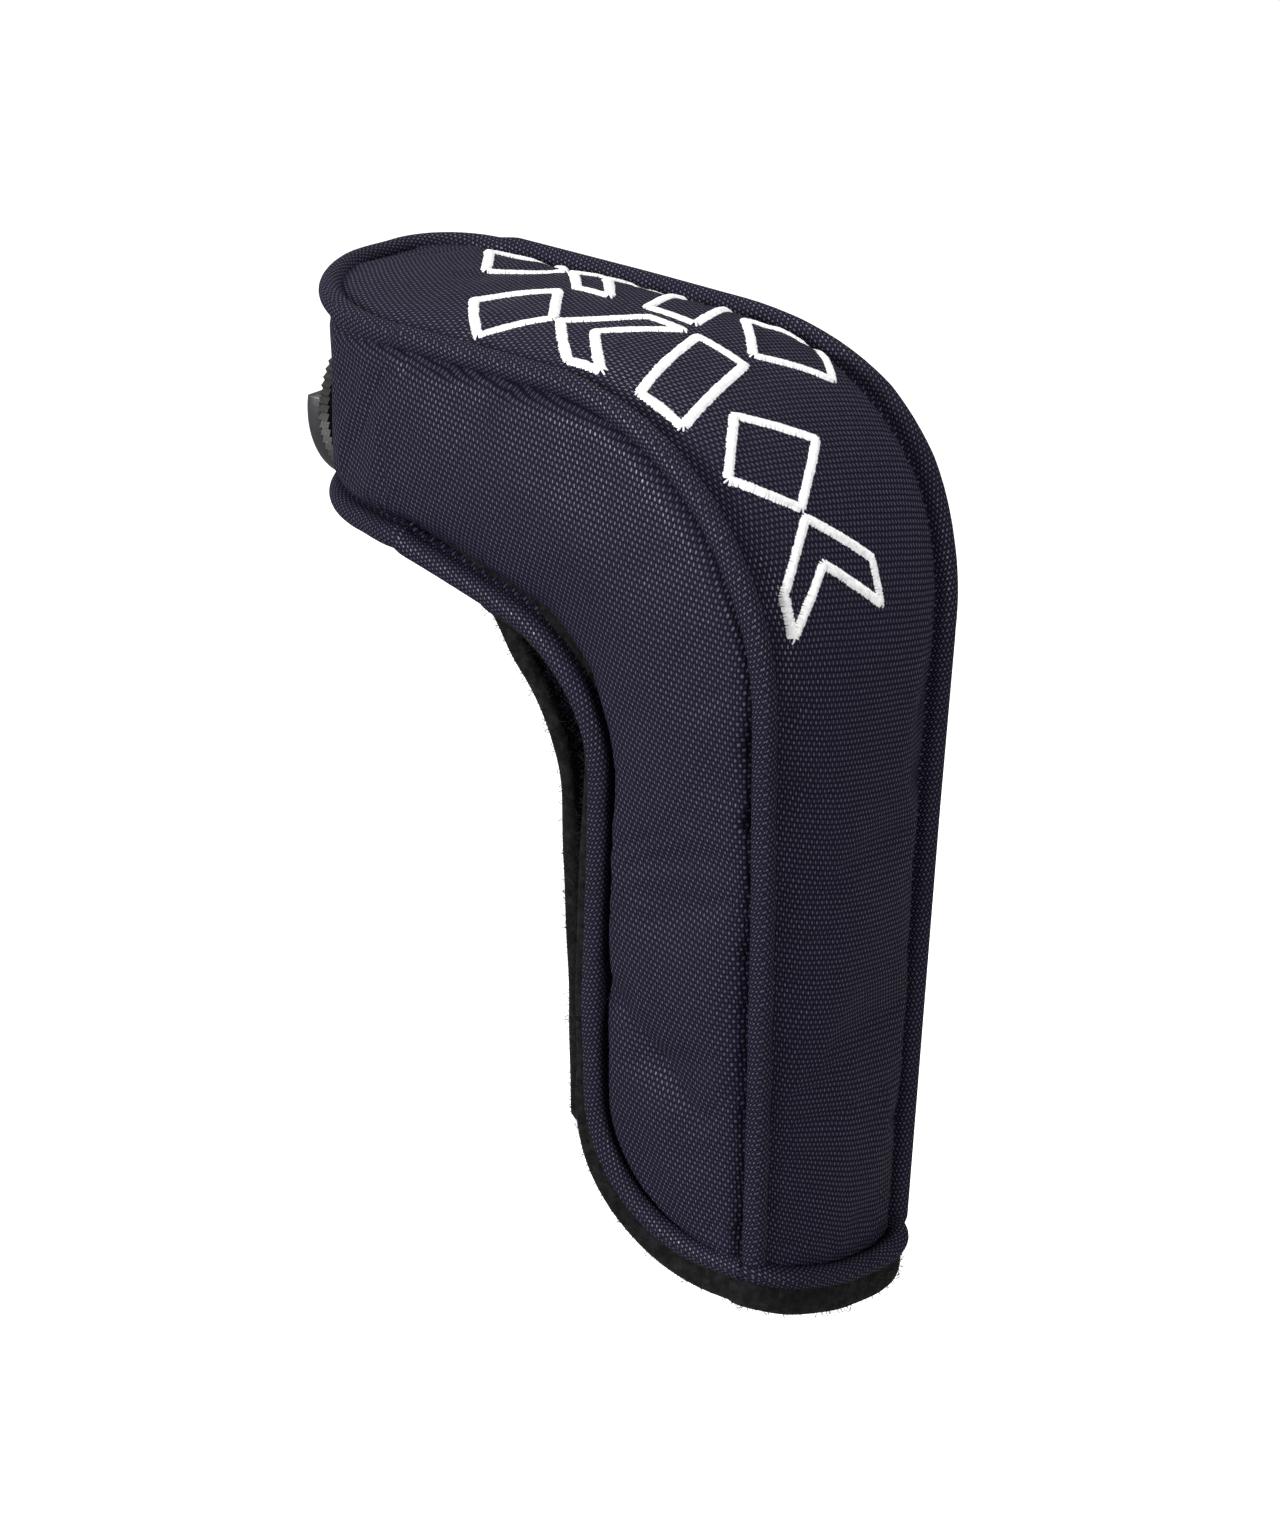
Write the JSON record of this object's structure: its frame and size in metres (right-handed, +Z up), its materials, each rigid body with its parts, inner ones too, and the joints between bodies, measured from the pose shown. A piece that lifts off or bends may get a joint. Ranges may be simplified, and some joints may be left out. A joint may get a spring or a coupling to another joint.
{
  "type": "golf club headcover",
  "caption": "Padded L-shaped cover for a golf club head, with a side flap that opens along the neck and a turning number dial on the toe.",
  "frame": {"origin": "centre of the neck opening, at the middle of the hem", "axes": "+Z up along the neck, -X towards the toe, -Y towards the side that opens as a flap"},
  "size_m": [0.1683, 0.0824, 0.2394],
  "materials": {
    "shell_fabric": "coarse plain-weave polyester, navy, slight sheen",
    "piping_fabric": "the same weave cut on the bias over a cord",
    "foam": "soft open-cell foam",
    "fleece": "brushed black fleece",
    "thread": "white satin-stitch thread",
    "dial_grey": "satin moulded plastic, grey",
    "dial_black": "moulded plastic, black",
    "dial_ink": "printed white",
    "steel": "plain"
  },
  "bodies": {
    "cover": {"outer_panel": "shell_fabric", "near_head_band": "shell_fabric", "far_side_band": "shell_fabric", "inner_panel": "shell_fabric", "outer_edge_piping": "piping_fabric", "lower_edge_piping": "piping_fabric", "slit_edge_piping": "piping_fabric", "hem_piping": "piping_fabric", "outer_panel_foam": "foam", "near_head_foam": "foam", "far_side_foam": "foam", "inner_panel_foam": "foam", "outer_panel_lining": "fleece", "near_head_lining": "fleece", "far_side_lining": "fleece", "inner_panel_lining": "fleece", "near_slit_facing": "fleece", "far_slit_facing": "fleece", "hem_facing": "fleece", "stitched_motif": "thread", "dial_cap": "dial_grey", "dial_base": "dial_black", "dial_backing_plate": "dial_black", "dial_rivet": "steel", "dial_spring": "steel"},
    "flap": {"flap_panel": "shell_fabric", "flap_foam": "foam", "flap_lining": "fleece", "flap_edge_piping": "piping_fabric", "flap_facing": "fleece"},
    "wheel": {"number_wheel": "dial_black", "wheel_numerals": "dial_ink"}
  },
  "joints": [
    {"name": "flap_open", "type": "hinge", "parent": "cover", "child": "flap", "pos_m": [0.02842, -0.0335, 0.065], "axis": [0.0403, 0, 0.9992], "range_deg": [0, 50], "stiffness_Nm_per_rad": 0.05},
    {"name": "dial_turn", "type": "hinge", "parent": "cover", "child": "wheel", "pos_m": [-0.1255, 0.017, 0.182], "axis": [-1, 0, 0], "continuous": true}
  ]
}
